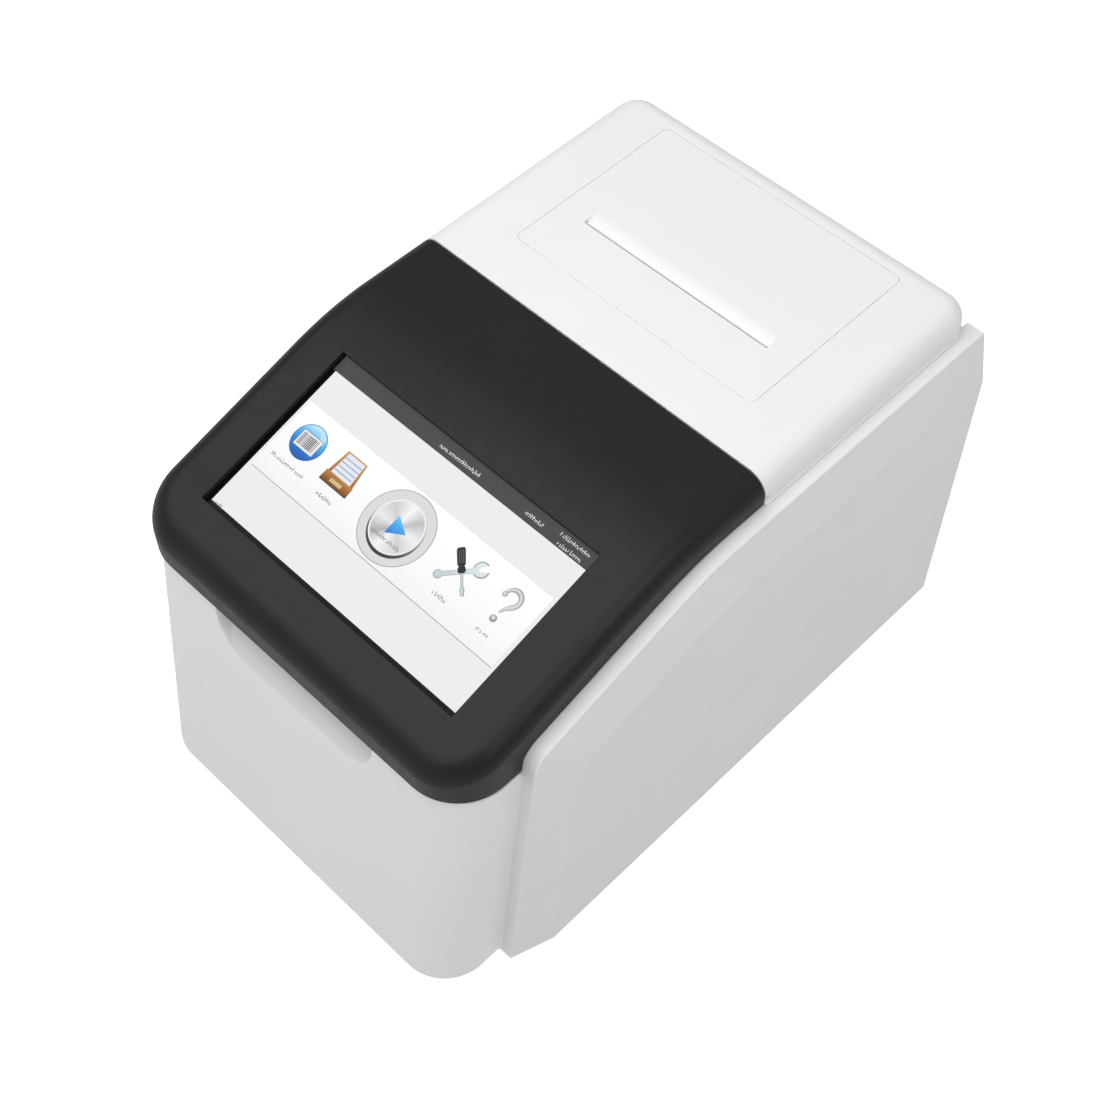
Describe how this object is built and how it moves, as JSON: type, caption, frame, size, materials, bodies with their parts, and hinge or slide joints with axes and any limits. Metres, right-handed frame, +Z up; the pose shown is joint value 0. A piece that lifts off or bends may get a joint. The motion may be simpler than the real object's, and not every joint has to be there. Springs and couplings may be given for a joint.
{
  "type": "thermal cycler",
  "caption": "Benchtop thermal cycler with a sloping touch-screen lid over a heated sample block and a ticket printer under a top door.",
  "frame": {"origin": "on the table under the middle of the bounding box", "axes": "+Z up, front of the instrument towards -Y, +X to the right of someone who faces its front"},
  "size_m": [0.242, 0.35, 0.2174],
  "materials": {
    "white_shell": "satin white ABS, fine moulded texture",
    "side_shell": "matt pale grey ABS",
    "black_shell": "satin black ABS, fine grain",
    "dark_plastic": "matt dark grey moulding",
    "grey_plastic": "matt grey moulding",
    "screen_glass": "polished touch glass over a lit display",
    "circuit_board": "green solder mask",
    "steel": "zinc-plated and brushed steel",
    "aluminium": "machined and bead-blasted",
    "ceramic": "unglazed alumina",
    "paper": "thermal paper",
    "rubber": "matt black rubber"
  },
  "bodies": {
    "base": {"base_tray": "side_shell", "side_panel_left": "side_shell", "side_panel_right": "side_shell", "front_panel": "white_shell", "rear_panel": "white_shell", "rear_cover": "white_shell", "hinge_beam": "steel", "hinge_bracket_left": "steel", "hinge_bracket_right": "steel", "hinge_pin_left": "steel", "hinge_pin_right": "steel", "door_bracket_left": "steel", "door_bracket_right": "steel", "door_pin_left": "steel", "door_pin_right": "steel", "deck_tub": "grey_plastic", "sample_block": "aluminium", "block_collar": "dark_plastic", "peltier_module": "ceramic", "heat_sink": "aluminium", "fan_frame": "dark_plastic", "power_supply": "steel", "main_board": "circuit_board", "power_inlet": "dark_plastic", "switch_housing": "dark_plastic", "usb_port": "steel", "paper_bay": "dark_plastic", "roll_spindle": "grey_plastic", "printer_motor": "steel", "print_head": "dark_plastic", "keeper_plate": "steel", "foot_front_left": "rubber", "foot_front_right": "rubber", "foot_rear_left": "rubber", "foot_rear_right": "rubber"},
    "lid": {"lid_shell": "black_shell", "lid_tray": "dark_plastic", "touch_glass": "screen_glass", "display_panel": "dark_plastic", "display_board": "circuit_board", "hinge_arm_left": "steel", "hinge_arm_right": "steel", "heater_housing": "dark_plastic", "press_spring_1": "steel", "press_spring_2": "steel", "press_spring_3": "steel", "press_spring_4": "steel", "heater_gasket": "rubber", "lid_magnet": "steel"},
    "press": {"press_plate": "aluminium"},
    "printer_door": {"printer_door": "white_shell"},
    "paper_roll": {"paper_roll": "paper"},
    "platen": {"platen_roller": "rubber", "platen_gear": "grey_plastic"},
    "motor_gear": {"motor_gear": "steel"},
    "fan": {"fan_rotor": "dark_plastic"},
    "switch": {"switch_rocker": "dark_plastic"}
  },
  "joints": [
    {"name": "lid_hinge", "type": "hinge", "parent": "base", "child": "lid", "pos_m": [0, 0.0423, 0.2116], "axis": [-1, 0, 0], "range_deg": [0, 68]},
    {"name": "press_float", "type": "slide", "parent": "lid", "child": "press", "axis": [0, 0, -1], "range_m": [0, 0.003]},
    {"name": "printer_door_hinge", "type": "hinge", "parent": "base", "child": "printer_door", "pos_m": [0, 0.0467, 0.2124], "axis": [1, 0, 0], "range_deg": [0, 80]},
    {"name": "paper_roll_spin", "type": "hinge", "parent": "base", "child": "paper_roll", "pos_m": [0, 0.128, 0.1887], "axis": [1, 0, 0], "continuous": true},
    {"name": "platen_spin", "type": "hinge", "parent": "base", "child": "platen", "pos_m": [0, 0.0869, 0.2042], "axis": [1, 0, 0], "continuous": true},
    {"name": "motor_gear_spin", "type": "hinge", "parent": "base", "child": "motor_gear", "pos_m": [0.0605, 0.07845, 0.19675], "axis": [1, 0, 0], "continuous": true},
    {"name": "fan_spin", "type": "hinge", "parent": "base", "child": "fan", "pos_m": [0.045, 0.15615, 0.065], "axis": [0, 1, 0], "continuous": true},
    {"name": "power_switch", "type": "hinge", "parent": "base", "child": "switch", "pos_m": [-0.07, 0.1682, 0.073], "axis": [1, 0, 0], "range_deg": [-9, 9]}
  ],
  "couplings": [
    {"joint": "motor_gear_spin", "follows": "platen_spin", "ratio": -2}
  ]
}
